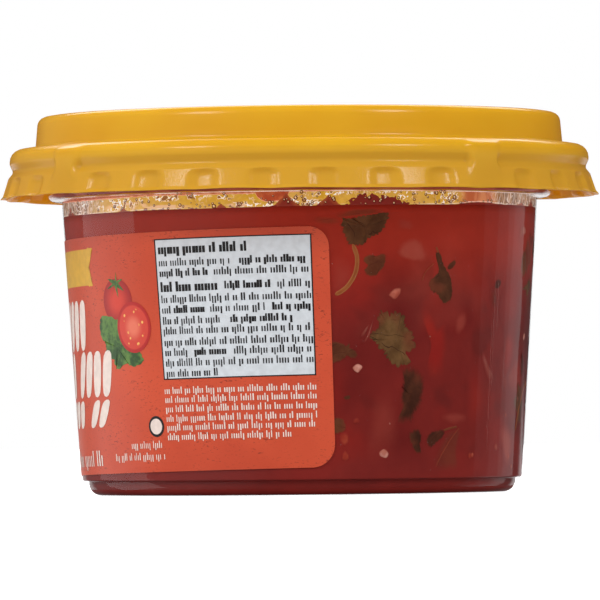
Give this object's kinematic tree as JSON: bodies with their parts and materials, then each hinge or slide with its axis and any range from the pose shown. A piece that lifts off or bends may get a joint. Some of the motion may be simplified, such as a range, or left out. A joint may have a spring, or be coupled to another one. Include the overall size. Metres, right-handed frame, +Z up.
{
  "type": "pico de gallo tub",
  "caption": "Round clear plastic tub of chunky red pico de gallo salsa, with a yellow press-on lid and an orange-red wrap label.",
  "frame": {"origin": "middle of the flat base", "axes": "+Z up along the tub's axis, -Y towards the side shown in the picture, +X to the viewer's right"},
  "size_m": [0.117, 0.117, 0.0739],
  "materials": {
    "clear_plastic": "clear moulded plastic, glossy",
    "yellow_plastic": "thin yellow plastic, slightly see-through, satin gloss",
    "salsa": "wet red salsa with dark green leaf and pale onion",
    "label_film": "printed film, orange-red with a white panel and plain shapes"
  },
  "bodies": {
    "root": {"tub": "clear_plastic", "lid": "yellow_plastic", "salsa": "salsa", "label": "label_film"}
  },
  "joints": []
}
